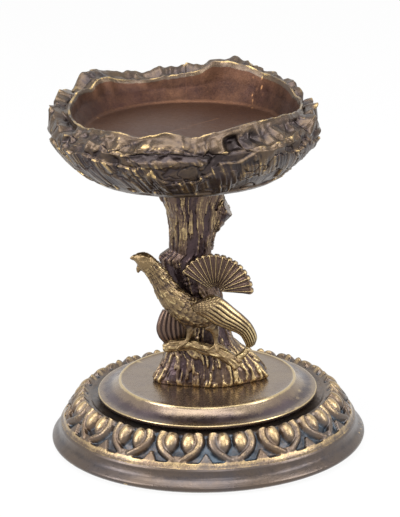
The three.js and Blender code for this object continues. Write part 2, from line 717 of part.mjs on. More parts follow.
place('foot_ring', footRing(), bronze);
place('base_plate', basePlate(), turnedBrass);
place('trunk', trunk(), bronze);
place('bowl', bowl(), copperBrown);
place('perch_branch', perchBranch(), goldBrass);
place('bird_body', birdBody(), goldBrass);
place('tail_fan', tailFan(0), bronze);
place('near_wing', nearWingBlade(0).add(nearTenon(0)), goldBrass);
place('far_wing', farWingBlade(0).add(farTenon(0)), bronze);
place('stem_stud', rod(stemStudRadius, vec(0, 0, stemStudTail), vec(0, 0, plateTop + stemStudGrip)), steel);
place('stem_washer', stemWasher(), steel);
place('stem_nut', stemNut(), steel);
place('bowl_stud', rod(bowlStudRadius, vec(bowlShift, 0, trunkTop - bowlStudGrip),
  vec(bowlShift, 0, trunkTop + bowlStudReach)), steel);
place('perch_pin_left', perchDowels(0)[0], steel);
place('perch_pin_right', perchDowels(0)[1], steel);
place('bird_pin', birdDowel(0), steel);

export default group;
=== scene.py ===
# Looks of a cast and turned brass candlestick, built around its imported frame.
# Lengths are millimetres here and become metres where a mesh is made. +Z is up, the bird is on the -Y side.

import itertools
import math

import bpy
import numpy as np
from mathutils import Matrix, Vector


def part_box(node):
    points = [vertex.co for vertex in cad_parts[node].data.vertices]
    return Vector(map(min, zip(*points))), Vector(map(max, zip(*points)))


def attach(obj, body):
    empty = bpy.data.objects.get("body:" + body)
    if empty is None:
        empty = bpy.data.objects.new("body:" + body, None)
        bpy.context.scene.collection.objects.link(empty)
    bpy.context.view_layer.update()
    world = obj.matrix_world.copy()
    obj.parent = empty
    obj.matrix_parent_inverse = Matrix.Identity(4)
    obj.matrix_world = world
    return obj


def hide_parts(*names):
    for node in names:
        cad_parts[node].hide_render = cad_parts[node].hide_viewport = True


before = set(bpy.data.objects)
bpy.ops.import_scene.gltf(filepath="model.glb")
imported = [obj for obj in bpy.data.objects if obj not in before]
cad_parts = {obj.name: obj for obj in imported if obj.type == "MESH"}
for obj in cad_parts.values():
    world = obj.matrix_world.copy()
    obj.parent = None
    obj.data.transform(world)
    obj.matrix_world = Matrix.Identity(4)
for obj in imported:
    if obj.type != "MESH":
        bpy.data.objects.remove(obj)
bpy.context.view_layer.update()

MM = 0.001
TAU = 2 * math.pi

# Sizes that the frame gives
foot_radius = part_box("foot_ring")[1].x / MM
plate_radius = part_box("base_plate")[1].x / MM
trunk_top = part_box("trunk")[1].z / MM
bowl_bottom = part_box("bowl")[0].z / MM

# Foot ring
flange_height = 3.5
band_radius = foot_radius - 2.9
band_height = 6.6
web_top = 12.3
web_thickness = 3.0
foot_wall = 5.0
channel_radius = 30.6
spigot_bore = 9.9
spigot_depth = 1.2
stud_bore = 3.3
boss_radius = 8.0
boss_drop = 2.0

# Leaf and egg border. Its slope starts at the plain band of the foot.
border_repeats = 16
border_turn = 10.0
border_recess = 0.9
border_length = 8.6
columns_per_repeat = 48
egg_row_radius = channel_radius + 2.8
egg_half_width = 2.05
egg_half_length = 3.4
egg_offset = 2.2
egg_height = 2.2
egg_middle = 0.72 * border_length
leaf_spread = 0.74
leaf_steepness = 1.45
tab_height = 2.0
tab_half_widths = (2.6, 1.0)
dart_height = 3.0
dart_half_widths = (1.7, 0.05)

# Turned plate
fit = 0.3
spigot_radius = spigot_bore - fit
spigot_bottom = web_top - spigot_depth + fit
lip_top = web_top + 1.9
plate_top = web_top + 4.7
plate_flat_radius = 23.4
plate_foot_radius = 27.6
bead_height = 0.24
plate_columns = 360

# Trunk
trunk_height = trunk_top - plate_top
bark_depth = 0.62
stub_radius = 3.3
stub_reach = 8.8
stub_tilt = math.radians(25)
stub_share = 0.7
mound_x = 0.7
mound_top = 0.17
root_lobes = 5
root_lobe_depth = 0.5
root_lobe_top = 0.14
girth = 8.5

# Candle dish
bowl_x = -4.2
bowl_radius = 35.6
bowl_height = 17.0
rim_height = bowl_bottom + bowl_height
dish_floor = rim_height - 5.6
dish_underside = dish_floor - 3.0
dish_floor_radius = 25.4
dish_mouth_radius = 29.8
bowl_bottom_radius = 25.5
bowl_bottom_wall = 2.9
bowl_underside_radius = 28.0
bowl_boss_radius = 8.5
bowl_columns = 960
bark_reach = 1.0
bark_arc_radius = 33
bark_core_radius = 28

# Bird
bird_base = plate_top + trunk_height * 0.19
bird_y = -9.23
bird_half_width = 3.3
eye_place = (-15.9, -2.0, 24.6)
eye_radius = 0.36
eye_height = 0.42
eye_socket_radius = 0.62
eye_socket_depth = 0.28
neck_feather_size = 0.95
feather_growth = 0.5
fan_radius = 10.0
fan_feathers = 15
fan_hub = (2.7, 0.9, 14.9)
fan_turn = math.radians(15)
fan_first_angle = 155
fan_last_angle = -1
perch_radius = 1.55


# Noise and curves

def noise(x, y, z, seed):
    """Smooth noise from -1 to 1 that repeats for a given seed."""
    places = np.broadcast_arrays(np.asarray(x, float), np.asarray(y, float), np.asarray(z, float))
    cells = [np.floor(v).astype(np.int64) for v in places]
    shares = [v - c for v, c in zip(places, cells)]
    soft = [s * s * s * (s * (s * 6 - 15) + 10) for s in shares]
    total = np.zeros(places[0].shape)
    for corner in itertools.product((0, 1), repeat=3):
        mixed = (cells[0] + corner[0]) * 73856093
        mixed ^= (cells[1] + corner[1]) * 19349663
        mixed ^= (cells[2] + corner[2]) * 83492791
        mixed ^= seed * 2654435
        mixed = (mixed ^ (mixed >> 13)) * 1274126177 & 0x7FFFFFFF
        mixed = (mixed ^ (mixed >> 15)) * 974711 & 0x7FFFFFFF
        value = (mixed >> 7 & 0xFFFF) / 32767.5 - 1
        weight = np.ones(places[0].shape)
        for c, s in zip(corner, soft):
            weight = weight * (s if c else 1 - s)
        total += value * weight
    return total


def layered(x, y, z, layers, seed):
    """Noise with finer layers on it, each twice as fine and half as strong as the last."""
    total = 0
    for layer in range(layers):
        scale = 2 ** layer
        total = total + noise(x * scale, y * scale, z * scale, seed + layer) / scale
    return total / 1.6


def step(low, high, value):
    """Smooth rise from 0 at low to 1 at high, or a fall where low is the larger."""
    t = np.clip((value - low) / (high - low), 0, 1)
    return t * t * (3 - 2 * t)


def smooth_path(keys, count):
    """Points on a smooth curve through the keys, spread evenly over them."""
    keys = np.asarray(keys, float)
    padded = np.vstack([2 * keys[0] - keys[1], keys, 2 * keys[-1] - keys[-2]])
    t = np.linspace(0, len(keys) - 1, count)
    k = np.minimum(t.astype(int), len(keys) - 2)
    s = (t - k)[:, None]
    a, b, c, d = (padded[k + i] for i in range(4))
    square = (2 * a - 5 * b + 4 * c - d) * s ** 2
    cube = (3 * b - a - 3 * c + d) * s ** 3
    return 0.5 * (2 * b + (c - a) * s + square + cube)


def straight_path(keys, counts):
    """Points along straight runs between the keys, with a count for each run."""
    keys = np.asarray(keys, float)
    runs = [np.linspace(keys[i], keys[i + 1], n, endpoint=False) for i, n in enumerate(counts)]
    return np.vstack(runs + [keys[-1:]])


def turned(radius, height, turn):
    """Points at each radius and height, swept round the upright axis from the front."""
    return np.stack([radius * np.sin(turn), -radius * np.cos(turn), height + 0 * turn], -1)


# Meshes

def make_object(name, points, faces, relief=None):
    mesh = bpy.data.meshes.new(name)
    mesh.from_pydata((np.asarray(points) * MM).tolist(), [], faces)
    mesh.validate()
    mesh.polygons.foreach_set("use_smooth", [True] * len(mesh.polygons))
    if relief is not None:
        layer = mesh.attributes.new("relief", "FLOAT", "POINT")
        layer.data.foreach_set("value", np.asarray(relief, np.float32).ravel())
    piece = bpy.data.objects.new(name, mesh)
    bpy.context.scene.collection.objects.link(piece)
    return piece


def ring_surface(name, grid, relief=None, close_rows=False, caps=False):
    """Surface over rings of points: grid[row, column] is a point and each row is a closed ring."""
    rows, columns = grid.shape[:2]
    points = grid.reshape(-1, 3)
    faces = []
    for r in range(rows if close_rows else rows - 1):
        here = r * columns
        above = (r + 1) % rows * columns
        for c in range(columns):
            d = (c + 1) % columns
            faces.append((here + c, here + d, above + d, above + c))
    values = None if relief is None else relief.reshape(-1)
    if caps:
        middles = np.array([grid[0].mean(0), grid[-1].mean(0)])
        low = len(points)
        points = np.vstack([points, middles])
        for c in range(columns):
            d = (c + 1) % columns
            faces.append((low, d, c))
            faces.append((low + 1, (rows - 1) * columns + c, (rows - 1) * columns + d))
        if values is not None:
            values = np.append(values, [relief[0].mean(), relief[-1].mean()])
    return outward(make_object(name, points, faces, values))


def outward(piece):
    """Turns the faces outward, if they enclose a negative volume."""
    mesh = piece.data
    corners = np.zeros(len(mesh.vertices) * 3)
    mesh.vertices.foreach_get("co", corners)
    mesh.calc_loop_triangles()
    index = np.zeros(len(mesh.loop_triangles) * 3, int)
    mesh.loop_triangles.foreach_get("vertices", index)
    a, b, c = corners.reshape(-1, 3)[index.reshape(-1, 3)].transpose(1, 0, 2)
    if np.einsum("ij,ij->i", a, np.cross(b, c)).sum() < 0:
        mesh.flip_normals()
    return piece


def points_of(piece):
    """The mesh's points in millimetres, and their normals."""
    mesh = piece.data
    points = np.zeros(len(mesh.vertices) * 3)
    normals = np.zeros(len(mesh.vertices) * 3)
    mesh.vertices.foreach_get("co", points)
    mesh.vertex_normals.foreach_get("vector", normals)
    return points.reshape(-1, 3) / MM, normals.reshape(-1, 3)


def displace(piece, amount, relief, material):
    """Moves each point along its normal by amount in millimetres and keeps relief for the material."""
    points, normals = points_of(piece)
    points = points + normals * amount[:, None]
    mesh = piece.data
    mesh.vertices.foreach_set("co", (points * MM).ravel())
    layer = mesh.attributes.new("relief", "FLOAT", "POINT")
    layer.data.foreach_set("value", relief.astype(np.float32))
    mesh.update()
    mesh.materials.clear()
    mesh.materials.append(material)


def paint(piece, first, second, count):
    """Gives the first count faces the first material, and the rest the second."""
    mesh = piece.data
    mesh.materials.append(second)
    mesh.materials.append(first)
    slots = np.zeros(len(mesh.polygons), int)
    slots[:count] = 1
    mesh.polygons.foreach_set("material_index", slots)


def fused(name, pieces, voxel, smoothing):
    """One closed skin round several overlapping pieces."""
    bpy.ops.object.select_all(action="DESELECT")
    for part in pieces:
        part.select_set(True)
    piece = pieces[0]
    bpy.context.view_layer.objects.active = piece
    bpy.ops.object.join()
    piece.name = name
    remesh = piece.modifiers.new("skin", "REMESH")
    remesh.mode = "VOXEL"
    remesh.voxel_size = voxel * MM
    remesh.use_smooth_shade = True
    soften = piece.modifiers.new("soften", "SMOOTH")
    soften.iterations = smoothing
    soften.factor = 0.5
    bpy.ops.object.modifier_apply(modifier="skin")
    bpy.ops.object.modifier_apply(modifier="soften")
    piece.select_set(False)
    piece.data.polygons.foreach_set("use_smooth", [True] * len(piece.data.polygons))
    return piece


def unit(vectors):
    return vectors / np.linalg.norm(vectors, axis=-1, keepdims=True)


def side_directions(ahead):
    """Directions across each heading: level with it, and toward +Y."""
    deep = unit(np.array([0, 1, 0]) - ahead * ahead[:, 1:2])
    return np.cross(deep, ahead), deep


def limb(name, path, sizes, steps, sides):
    """Limb with oval sections along a path. Each size is half across and half along Y."""
    place = smooth_path(path, steps + 1)
    size = smooth_path(sizes, steps + 1)
    across, deep = side_directions(unit(np.gradient(place, axis=0)))
    angle = np.linspace(0, TAU, sides, endpoint=False)
    grid = (place[:, None] + across[:, None] * size[:, None, :1] * np.cos(angle)[None, :, None]
            + deep[:, None] * size[:, None, 1:2] * np.sin(angle)[None, :, None])
    return ring_surface(name, grid, caps=True)


def at_bird(points):
    return np.asarray(points, float) + np.array([0, bird_y, bird_base])


def path_frame(points, keys):
    """For each point: its length along the path, and its angle and distance from it."""
    path = smooth_path(keys, 160)
    ahead = unit(np.gradient(path, axis=0))
    nearest = np.zeros(len(points), int)
    batch = 20000
    for first in range(0, len(points), batch):
        part = points[first:first + batch]
        gaps = ((part[:, None] - path[None]) ** 2).sum(2)
        nearest[first:first + batch] = gaps.argmin(1)
    offset = points - path[nearest]
    direction = ahead[nearest]
    across, deep = side_directions(direction)
    angle = np.arctan2((offset * deep).sum(1), (offset * across).sum(1))
    lengths = np.append(0, np.linalg.norm(np.diff(path, axis=0), axis=1).cumsum())
    return lengths[nearest] + (offset * direction).sum(1), angle, np.linalg.norm(offset, axis=1)


# Materials

def srgb(colour):
    values = [c / 255 for c in colour]
    return tuple(v / 12.92 if v <= 0.04045 else ((v + 0.055) / 1.055) ** 2.4 for v in values) + (1.0,)


class Nodes:
    """Node builder with short calls for what the materials and the world share."""

    def __init__(self, tree):
        self.tree = tree

    def add(self, kind, **settings):
        node = self.tree.nodes.new(kind)
        for key, value in settings.items():
            setattr(node, key, value)
        return node

    def link(self, source, target):
        self.tree.links.new(source, target)

    def math(self, operation, a, b=None, clamp=False):
        node = self.add("ShaderNodeMath", operation=operation, use_clamp=clamp)
        for socket, value in zip(node.inputs, (a, b)):
            if isinstance(value, (int, float)):
                socket.default_value = value
            elif value is not None:
                self.link(value, socket)
        return node.outputs[0]

    def seen_directly(self):
        """1 for what the camera, metal or glass shows, and 0 for light that falls on things."""
        rays = self.add("ShaderNodeLightPath")
        seen = self.math("MAXIMUM", rays.outputs["Is Camera Ray"], rays.outputs["Is Glossy Ray"])
        return self.math("MAXIMUM", seen, rays.outputs["Is Transmission Ray"])


class Shader(Nodes):
    """Node builder for one material."""

    def __init__(self, name):
        self.material = bpy.data.materials.new(name)
        self.material.use_nodes = True
        super().__init__(self.material.node_tree)
        self.bsdf = self.tree.nodes["Principled BSDF"]
        self.place = self.add("ShaderNodeTexCoord").outputs["Object"]

    def grain(self, scale, detail=4, roughness=0.6):
        node = self.add("ShaderNodeTexNoise")
        node.inputs["Scale"].default_value = scale
        node.inputs["Detail"].default_value = detail
        node.inputs["Roughness"].default_value = roughness
        self.link(self.place, node.inputs["Vector"])
        return self.math("SUBTRACT", node.outputs["Fac"], 0.5)

    def ramp(self, value, stops):
        node = self.add("ShaderNodeValToRGB")
        while len(node.color_ramp.elements) < len(stops):
            node.color_ramp.elements.new(0.5)
        for element, (position, colour) in zip(node.color_ramp.elements, stops):
            element.position = position
            element.color = colour
        self.link(value, node.inputs[0])
        return node.outputs[0]

    def tinted(self, share, colour, tint):
        node = self.add("ShaderNodeMix", data_type="RGBA")
        self.link(share, node.inputs[0])
        self.link(colour, node.inputs[6])
        node.inputs[7].default_value = tint
        return node.outputs[2]

    def bump(self, height, distance, strength):
        node = self.add("ShaderNodeBump")
        node.inputs["Distance"].default_value = distance * MM
        node.inputs["Strength"].default_value = strength
        self.link(height, node.inputs["Height"])
        self.link(node.outputs[0], self.bsdf.inputs["Normal"])


def aged_brass(name, dark, middle, gold, tint, relief, edges, level, roughness=0.36, grit=0.035, coat=0.2):
    """Brass that is dark in its recesses and worn bright where it stands out."""
    dark, middle, gold, tint = (srgb(colour) for colour in (dark, middle, gold, tint))
    s = Shader(name)
    # The relief attribute holds wear and, on some pieces, painted shade and a painted highlight.
    attribute = s.add("ShaderNodeAttribute", attribute_name="relief")
    height = s.math("MULTIPLY", attribute.outputs["Fac"], relief)
    geometry = s.add("ShaderNodeNewGeometry")
    edge = s.math("MULTIPLY", s.math("SUBTRACT", geometry.outputs["Pointiness"], 0.5), edges)
    cloud = s.math("MULTIPLY", s.grain(230, 5), 0.75)
    fine = s.math("MULTIPLY", s.grain(1900, 3, 0.7), 0.55)
    wear = s.math("ADD", s.math("ADD", height, edge), s.math("ADD", cloud, fine))
    wear = s.math("ADD", wear, 0.42 + level, clamp=True)
    colour = s.ramp(wear, [(0.0, dark), (0.38, middle), (0.62, middle), (0.95, gold)])
    blush = s.math("MULTIPLY", s.math("ADD", s.grain(90, 4), 0.12), 2.4, clamp=True)
    blush = s.math("MULTIPLY", blush, s.math("SUBTRACT", 1.0, wear, clamp=True), clamp=True)
    s.link(s.tinted(blush, colour, tint), s.bsdf.inputs["Base Color"])
    s.bsdf.inputs["Metallic"].default_value = 0.9
    s.bsdf.inputs["Coat Weight"].default_value = coat
    s.bsdf.inputs["Coat Roughness"].default_value = 0.18
    rough = s.math("ADD", s.math("MULTIPLY", s.grain(700, 4), 0.35), roughness)
    rough = s.math("SUBTRACT", rough, s.math("MULTIPLY", wear, 0.1))
    s.link(rough, s.bsdf.inputs["Roughness"])
    s.bump(s.math("ADD", s.grain(1500, 5, 0.7), s.math("MULTIPLY", s.grain(400, 4), 1.2)), grit * 4, 0.6)
    return s.material


def plain_metal(name, colour, roughness):
    s = Shader(name)
    light = srgb(colour)
    deep = srgb([c * 0.7 for c in colour])
    cloud = s.math("ADD", s.grain(300, 5), 0.5)
    s.link(s.ramp(cloud, [(0.3, deep), (0.7, light)]), s.bsdf.inputs["Base Color"])
    s.bsdf.inputs["Metallic"].default_value = 1.0
    s.link(s.math("ADD", s.math("MULTIPLY", s.grain(900), 0.3), roughness), s.bsdf.inputs["Roughness"])
    s.bump(s.grain(2500, 3), 0.05, 0.4)
    return s.material


# Colours in order: recesses, middle, worn places, tint
border_brass = aged_brass("border_brass", (50, 52, 58), (106, 88, 72), (186, 160, 118), (74, 88, 100),
                          relief=0.6, edges=2.5, level=-0.04)
plate_brass = aged_brass("turned_brass", (74, 62, 62), (138, 120, 100), (196, 174, 132), (104, 90, 94),
                         relief=0.8, edges=4.0, level=0.0, roughness=0.3, grit=0.012)
band_brass = aged_brass("band_brass", (58, 51, 49), (94, 81, 71), (178, 152, 108), (76, 75, 82),
                        relief=0.8, edges=4.0, level=-0.06, grit=0.02)
bark_brass = aged_brass("bark_brass", (50, 39, 39), (98, 79, 63), (182, 158, 114), (82, 64, 68),
                        relief=0.8, edges=2.5, level=-0.06)
bowl_brass = aged_brass("bowl_brass", (50, 42, 41), (92, 76, 59), (186, 158, 108), (70, 58, 58),
                        relief=0.75, edges=3.0, level=-0.09)
dish_brass = aged_brass("dish_brass", (48, 30, 24), (84, 57, 41), (146, 106, 72), (64, 42, 38),
                        relief=0.8, edges=3.0, level=0.0, roughness=0.5, coat=0.03)
gold_brass = aged_brass("gold_brass", (58, 47, 38), (126, 105, 74), (200, 178, 130), (88, 70, 60),
                        relief=0.8, edges=2.5, level=0.0)
feather_brass = aged_brass("feather_brass", (60, 47, 43), (108, 86, 70), (188, 164, 120), (94, 74, 68),
                           relief=0.8, edges=2.5, level=-0.04)
steel = plain_metal("steel", (150, 152, 156), 0.35)
pin_brass = plain_metal("pin_brass", (190, 160, 100), 0.35)


# Foot ring

def border_relief(angle, slope):
    """Height of the leaf and egg border above its recess, and how bright its wear is."""
    pitch = 360 / border_repeats
    turn = (angle - border_turn + pitch / 2) % pitch - pitch / 2
    u, v = np.broadcast_arrays(np.abs(np.radians(turn)) * egg_row_radius, slope * border_length)
    half_pitch = math.radians(pitch / 2) * egg_row_radius

    # Eggs, narrower at their lower end
    low = np.clip((egg_middle - v) / egg_half_length, 0, 1)
    width = egg_half_width * (1 - 0.24 * low ** 2)
    off_middle = ((u - egg_offset) / width) ** 2 + ((v - egg_middle) / egg_half_length) ** 2
    egg = egg_height * np.sqrt(np.clip(1 - off_middle, 0, 1))

    # Leaf ridges, from beside the eggs inward to the tab
    leaf_keys = [(0.94, 0.99), (1.04, 0.70), (0.86, 0.42), (0.42, 0.2), (0.2, 0.1)]
    path = smooth_path([(a * half_pitch * leaf_spread, b * border_length) for a, b in leaf_keys], 40)
    gap = np.sqrt(((np.stack([u, v], -1)[..., None, :] - path) ** 2).sum(-1)).min(-1)
    half_width = 0.8 + 0.6 * np.clip(v / border_length, 0, 1)
    ridge = leaf_steepness * half_width * np.sqrt(np.clip(1 - (gap / half_width) ** 2, 0, 1))

    # Tabs, darts and the edge that they stand on
    tab_side = u - np.interp(v, [0, tab_height], tab_half_widths)
    tab = border_recess * step(0.25, -0.05, tab_side) * step(tab_height + 0.2, tab_height - 0.2, v)
    dart_side = np.abs(u - half_pitch) - np.interp(v, [0, dart_height], dart_half_widths)
    dart = border_recess * step(0.2, -0.05, dart_side) * step(dart_height + 0.2, dart_height - 0.2, v)
    edge = border_recess * step(0.5, 0.2, v)
    hollow = -0.35 * step(0.5, 1.2, v) * step(3.6, 2.2, v)
    leaf = np.maximum.reduce([egg, ridge, tab, dart, edge])
    height = np.where(leaf > 0.02, leaf, hollow)
    flat_wear = height * (0.15 + 0.65 * step(0.6, 0.3, v))
    round_wear = (height / egg_height) ** 2 - 0.1
    wear = np.where(np.maximum(egg, ridge) > leaf - 0.01, round_wear, flat_wear) - 0.4 * (leaf <= 0.02)
    return height, wear


def make_foot():
    underside = straight_path([(foot_radius - foot_wall, 0), (foot_radius - 2.5, 0)], [4])
    flange = smooth_path([(foot_radius - 2.5, 0), (foot_radius - 0.5, 1.0), (foot_radius, 2.0),
                          (foot_radius - 0.7, 2.9), (band_radius + 1.2, 3.8), (band_radius + 0.8, 4.9),
                          (band_radius + 0.7, 5.8)], 40)
    lip = smooth_path([(band_radius + 0.7, 5.8), (band_radius + 0.4, 6.35), (band_radius, band_height)], 8)
    plain = np.vstack([underside, flange[1:], lip[1:]])
    slope = np.linspace(0, 1, 62)
    web_bottom = web_top - web_thickness
    inner = straight_path([
        (channel_radius + 0.9, web_top + 0.5), (channel_radius, web_top), (spigot_bore, web_top),
        (spigot_bore, web_top - spigot_depth), (stud_bore, web_top - spigot_depth),
        (stud_bore, web_bottom - boss_drop), (boss_radius, web_bottom - boss_drop),
        (boss_radius, web_bottom), (channel_radius - 1.2, web_bottom),
        (band_radius - 5.2, band_height - 0.6), (foot_radius - foot_wall, flange_height),
        (foot_radius - foot_wall, 0)],
        [3, 10, 2, 3, 3, 3, 2, 8, 3, 3, 3])
    columns = border_repeats * columns_per_repeat
    angle = np.linspace(0, 360, columns, endpoint=False)
    turn = np.radians(angle)[None, :]
    plain_grid = turned(plain[:, :1], plain[:, 1:], turn)
    bottom_edge = step(1.2, 0.6, plain[:, 1:]) * 0.35
    top_edge = step(band_height - 0.5, band_height, plain[:, 1:]) * 0.45
    cove = np.exp(-((plain[:, 1:] - 3.9) / 0.7) ** 2) * 0.2
    plain_wear = np.zeros(plain_grid.shape[:2]) + 0.05 + top_edge + bottom_edge - cove
    lift, wear = border_relief(angle[None, :], slope[:, None])
    lift = lift * step(1.0, 0.97, slope)[:, None]
    first_radius = band_radius - border_recess
    base_radius = first_radius + (channel_radius + 1.4 - first_radius) * slope
    base_height = band_height + (web_top + 0.4 - band_height) * slope ** 0.85
    border = turned(base_radius[:, None] + lift * 0.6, base_height[:, None] + lift * 0.8, turn)
    inner_grid = turned(inner[:, :1], inner[:, 1:], turn)
    grid = np.vstack([plain_grid, border, inner_grid[:-1]])
    relief = np.vstack([plain_wear, wear, np.zeros(inner_grid.shape[:2])[:-1]])
    foot = ring_surface("foot", grid, relief, close_rows=True)
    paint(foot, band_brass, border_brass, (len(plain_grid) - 2) * columns)
    return foot


# Turned plate

def make_plate():
    rim = plate_radius
    flat = plate_flat_radius
    bottom = [(stud_bore, spigot_bottom), (spigot_radius, spigot_bottom), (spigot_radius, web_top),
              (plate_foot_radius, web_top)]
    lip = [(rim - 1.2, web_top + 0.3), (rim - 0.5, web_top + 0.8), (rim - 0.15, web_top + 1.1),
           (rim, lip_top - 0.5), (rim, lip_top - 0.15), (rim - 0.12, lip_top + 0.02),
           (rim - 0.3, lip_top + 0.06)]
    hollow = [(rim - 0.5 - (rim - flat - 1.0) * t, lip_top + 0.1 + (plate_top - 0.5 - lip_top) * t ** 2.2)
              for t in np.linspace(0, 1, 12)]
    bead = [(flat + 0.35, plate_top - 0.28), (flat + 0.2, plate_top + 0.1), (flat, plate_top + bead_height),
            (flat - 0.35, plate_top + bead_height), (flat - 0.7, plate_top + 0.05), (flat - 0.9, plate_top)]
    top = [(20, plate_top), (14, plate_top), (8, plate_top), (stud_bore, plate_top)]
    counts = [2, 2, 6] + [3] * (len(lip) + len(hollow) + len(bead)) + [2] * len(top)
    profile = straight_path(bottom + lip + hollow + bead + top, counts)
    turn = np.linspace(0, TAU, plate_columns, endpoint=False)[None, :]
    radius, height = profile[:, :1], profile[:, 1:]
    grid = turned(radius, height, turn)
    on_bead = 0.7 * np.exp(-((radius - flat + 0.1) / 0.5) ** 2) * (height > lip_top)
    on_lip = 0.6 * np.exp(-((radius - rim) / 0.35) ** 2) * (height > lip_top - 0.2)
    in_hollow = 0.6 * step(2.4, 0.0, np.abs(radius - flat - 3.2)) * (height > lip_top - 0.1)
    # Painted shade on the lip's side face and on everything below it.
    painted_shade_under_lip = 0.4 * (height < lip_top - 0.3)
    relief = (on_bead + on_lip - in_hollow - painted_shade_under_lip + 0.05) * np.ones_like(turn)
    plate = ring_surface("plate", grid, relief, close_rows=True)
    plate.data.materials.append(plate_brass)
    return plate


# Trunk: at each share of its height, its left, right, front and back edge

trunk_keys = np.array([
    [0, -14.2, 15.6, -8.2, 8.2], [0.015, -14.7, 16.2, -8.7, 8.7], [0.06, -12.8, 14.6, -8.3, 8.2],
    [0.11, -11.2, 11.2, -7.8, 7.6], [0.17, -10.0, 7.0, -7.0, 6.8], [0.25, -9.8, 5.4, -6.6, 6.4],
    [0.37, -10.2, 4.2, -6.2, 6.0], [0.47, -11.2, 3.0, -5.9, 5.7], [0.54, -11.9, 2.0, -5.6, 5.4],
    [0.57, -9.0, 2.0, -5.5, 5.4], [0.66, -9.0, 3.2, -5.9, 5.7], [0.74, -9.7, 4.4, -6.4, 6.2],
    [0.81, -11.6, 5.2, -7.4, 7.2], [0.87, -13.2, 5.6, -8.8, 8.8], [1, -13.0, 4.6, -8.8, 8.8]])


def make_trunk():
    share = np.linspace(0, 1, 200)
    left, right, front, back = (np.interp(share, trunk_keys[:, 0], trunk_keys[:, k]) for k in range(1, 5))
    angle = np.linspace(0, TAU, 200, endpoint=False)
    middle = ((left + right) / 2)[:, None]
    flare = np.clip(1 - share / root_lobe_top, 0, 1)[:, None]
    wave = root_lobe_depth * flare * np.cos(root_lobes * angle + 0.8)[None, :]
    half_across = ((right - left) / 2)[:, None] + wave
    half_deep = np.where(np.sin(angle)[None, :] < 0, -front[:, None], back[:, None]) + wave
    grid = np.stack([middle + half_across * np.cos(angle), half_deep * np.sin(angle),
                     plate_top + share[:, None] * trunk_height + 0 * angle], -1)
    blank = ring_surface("trunk_blank", grid, caps=True)
    along = unit(np.array([math.cos(stub_tilt), -0.08, math.sin(stub_tilt)]))
    root = np.array([-2, 0, plate_top + trunk_height * stub_share])
    path = [root + along * t * stub_reach for t in (0, 0.5, 0.93, 1)]
    sizes = [(stub_radius + 3.4, stub_radius + 1.7), (stub_radius + 1.6, stub_radius + 0.6),
             (stub_radius + 0.1, stub_radius + 0.1), (stub_radius - 0.2, stub_radius - 0.2)]
    trunk = fused("trunk_bark", [blank, limb("stub", path, sizes, 24, 48)], voxel=0.24, smoothing=5)

    points, normals = points_of(trunk)
    x, y, z = points.T
    level = (z - plate_top) / trunk_height

    # The bark's grain runs up the trunk and out along the stub
    axis_x = np.interp(level, trunk_keys[:, 0], (trunk_keys[:, 1] + trunk_keys[:, 2]) / 2)
    mound = step(mound_top, 0.09, level)
    axis_x = axis_x * (1 - mound) + mound_x * mound
    round_trunk = np.arctan2(y, x - axis_x)
    on_stub = step(2.6, 4.6, x - 0.35 * (z - root[2])) * step(0.56, 0.62, level) * step(0.9, 0.82, level)
    stub_along = (points - root) @ along
    stub_across = (points - root) @ np.array([-math.sin(stub_tilt), 0, math.cos(stub_tilt)])
    bend = 1.8 * noise(z * 0.11, round_trunk * 1.4, 3.0, 5) * step(0.08, 0.25, level)
    run = round_trunk * girth + bend
    flow_a = run * (1 - on_stub) + (stub_across + y * 0.6) * on_stub
    flow_b = z * (1 - on_stub) + stub_along * on_stub
    coarse = noise(flow_a * 0.72, flow_b * 0.13, 7.0, 11)
    second = noise(flow_a * 1.5, flow_b * 0.22, 2.0, 12)
    strokes = noise(flow_a * 1.7, flow_b * 0.3, 8.0, 14) + 0.5 * noise(flow_a * 3.1, flow_b * 0.5, 8.0, 15)
    strands = (coarse + 0.55 * second) * (1 - mound) + strokes * mound
    plateau = step(-0.16, 0.12, strands)
    fine = noise(flow_a * 3.4, flow_b * 0.5, 1.0, 13)
    pits = layered(*(points.T * 1.1), 3, 17)
    sawn = step(0.8, 0.95, (normals @ along)) * on_stub > 0.5
    flat_end = step(0.9, 0.98, np.abs(normals[:, 2]))
    amount = bark_depth * (plateau - 0.62) + 0.14 * fine * plateau + 0.12 * pits
    amount = np.where(sawn, 0.1 * pits, amount) * (1 - flat_end) * step(-0.002, 0.012, level)

    # Painted shade under the ledge and behind the bird; worn along the mound's bottom edge, and lighter on
    # the mound's right
    painted_shade_under_ledge = step(0.5, 0.56, level) * step(0.62, 0.57, level)
    painted_shade_behind_bird = step(0.3, 0.42, level) * step(0.62, 0.5, level)
    mound_right = mound * step(-3, 4, x + 4 * noise(*(points.T * 0.2), 18))
    # The bark's wear value also takes the painted shade under the ledge and behind the bird.
    wear = (plateau - 0.55) * 0.75 + 0.22 * fine + 0.12 * pits - 0.25 * painted_shade_under_ledge
    wear = wear + 0.35 * step(0.05, 0.0, level) - 0.2 * painted_shade_behind_bird + 0.35 * mound_right
    displace(trunk, amount, wear, bark_brass)
    return trunk


# Candle dish. Each key: angle from the front toward +X, how far the inner and the outer edge stand above
# the rim plane, and how far the wall stands out there.

